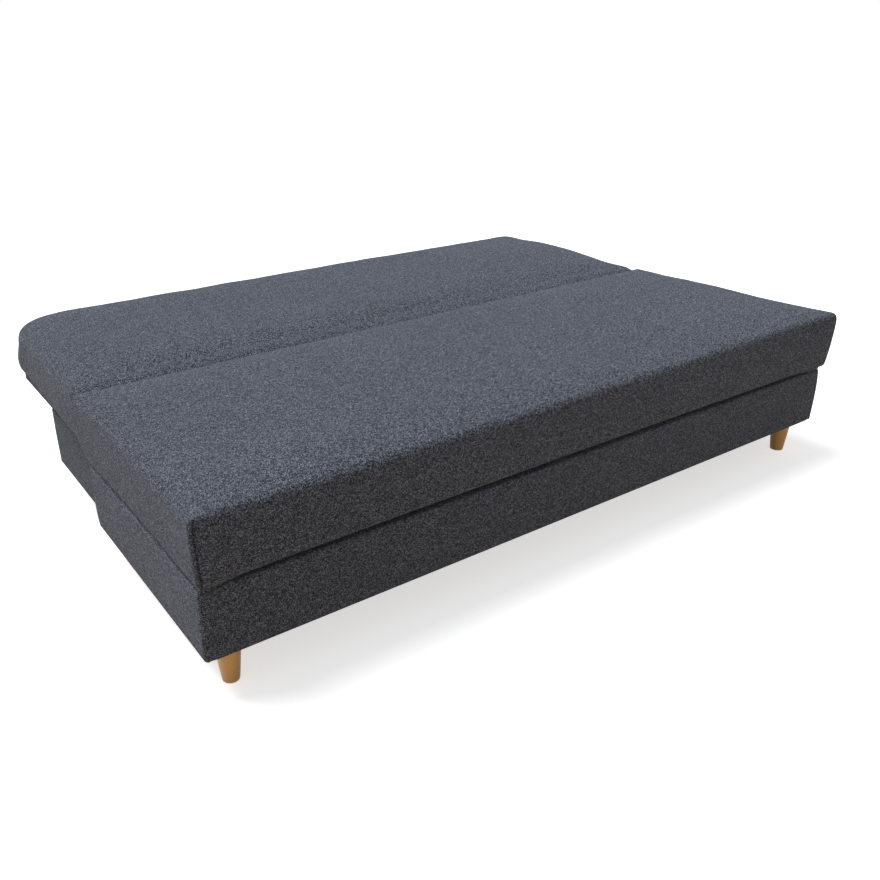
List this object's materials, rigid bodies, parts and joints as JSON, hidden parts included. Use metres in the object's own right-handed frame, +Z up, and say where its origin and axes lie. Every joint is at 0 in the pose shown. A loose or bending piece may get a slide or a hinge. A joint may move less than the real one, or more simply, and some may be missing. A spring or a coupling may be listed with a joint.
{
  "type": "click clack sofa bed",
  "caption": "Sprung sofa bed laid flat: seat and back mattresses hinged at a crease over an upholstered storage base on turned wooden legs.",
  "frame": {"origin": "on the floor under the middle of the flat bed", "axes": "+Z up, +Y from the seat towards the back mattress, +X to the right end seen from the front"},
  "size_m": [1.9664, 1.4462, 0.435],
  "materials": {
    "upholstery": "woven blue-grey melange cloth, matt",
    "foam": "open-cell foam, matt",
    "chipboard": "bare chipboard",
    "fibreboard": "bare fibreboard",
    "pine": "planed softwood",
    "beech": "turned hardwood, honey stain, satin lacquer",
    "black_steel": "black paint, satin",
    "zinc_steel": "zinc plated",
    "spring_steel": "drawn wire"
  },
  "bodies": {
    "base": {"base_front_board": "chipboard", "base_left_board": "chipboard", "base_right_board": "chipboard", "base_rear_board": "chipboard", "base_cross_board": "chipboard", "base_floor_panel": "fibreboard", "skirt_left_board": "chipboard", "skirt_right_board": "chipboard", "front_skirt_cover": "upholstery", "rear_skirt_cover": "upholstery", "leg_front_left": "beech", "leg_bolt_front_left": "zinc_steel", "leg_plate_front_left": "chipboard", "leg_front_right": "beech", "leg_bolt_front_right": "zinc_steel", "leg_plate_front_right": "chipboard", "leg_rear_left": "beech", "leg_bolt_rear_left": "zinc_steel", "leg_plate_rear_left": "chipboard", "leg_rear_right": "beech", "leg_bolt_rear_right": "zinc_steel", "leg_plate_rear_right": "chipboard", "base_bracket_left": "black_steel", "pivot_pin_left": "zinc_steel", "pivot_nut_left": "zinc_steel", "base_bracket_right": "black_steel", "pivot_pin_right": "zinc_steel", "pivot_nut_right": "zinc_steel"},
    "seat": {"seat_crease_rail": "pine", "seat_outer_rail": "pine", "seat_left_rail": "pine", "seat_right_rail": "pine", "seat_centre_rail": "pine", "seat_bottom_panel": "fibreboard", "seat_springs": "spring_steel", "seat_cover": "upholstery", "seat_foam": "foam", "seat_arm_left": "black_steel", "seat_arm_right": "black_steel", "pawl_pin_left": "zinc_steel", "pawl_pin_right": "zinc_steel"},
    "back": {"back_crease_rail": "pine", "back_outer_rail": "pine", "back_left_rail": "pine", "back_right_rail": "pine", "back_centre_rail": "pine", "back_bottom_panel": "fibreboard", "back_springs": "spring_steel", "back_cover": "upholstery", "back_foam": "foam", "back_arm_left": "black_steel", "back_arm_right": "black_steel"},
    "pawl_left": {"pawl_left": "black_steel"},
    "pawl_right": {"pawl_right": "black_steel"}
  },
  "joints": [
    {"name": "seat_lift", "type": "hinge", "parent": "base", "child": "seat", "pos_m": [0, 0.015, 0.403], "axis": [-1, 0, 0], "range_deg": [0, 25]},
    {"name": "back_recline", "type": "hinge", "parent": "base", "child": "back", "pos_m": [0, 0.015, 0.403], "axis": [1, 0, 0], "range_deg": [0, 75]},
    {"name": "pawl_turn_left", "type": "hinge", "parent": "seat", "child": "pawl_left", "pos_m": [-0.9195, -0.019, 0.368], "axis": [1, 0, 0], "range_deg": [0, 10]},
    {"name": "pawl_turn_right", "type": "hinge", "parent": "seat", "child": "pawl_right", "pos_m": [0.9195, -0.019, 0.368], "axis": [1, 0, 0], "range_deg": [0, 10]}
  ],
  "couplings": [
    {"joint": "pawl_turn_right", "follows": "pawl_turn_left", "ratio": 1}
  ]
}
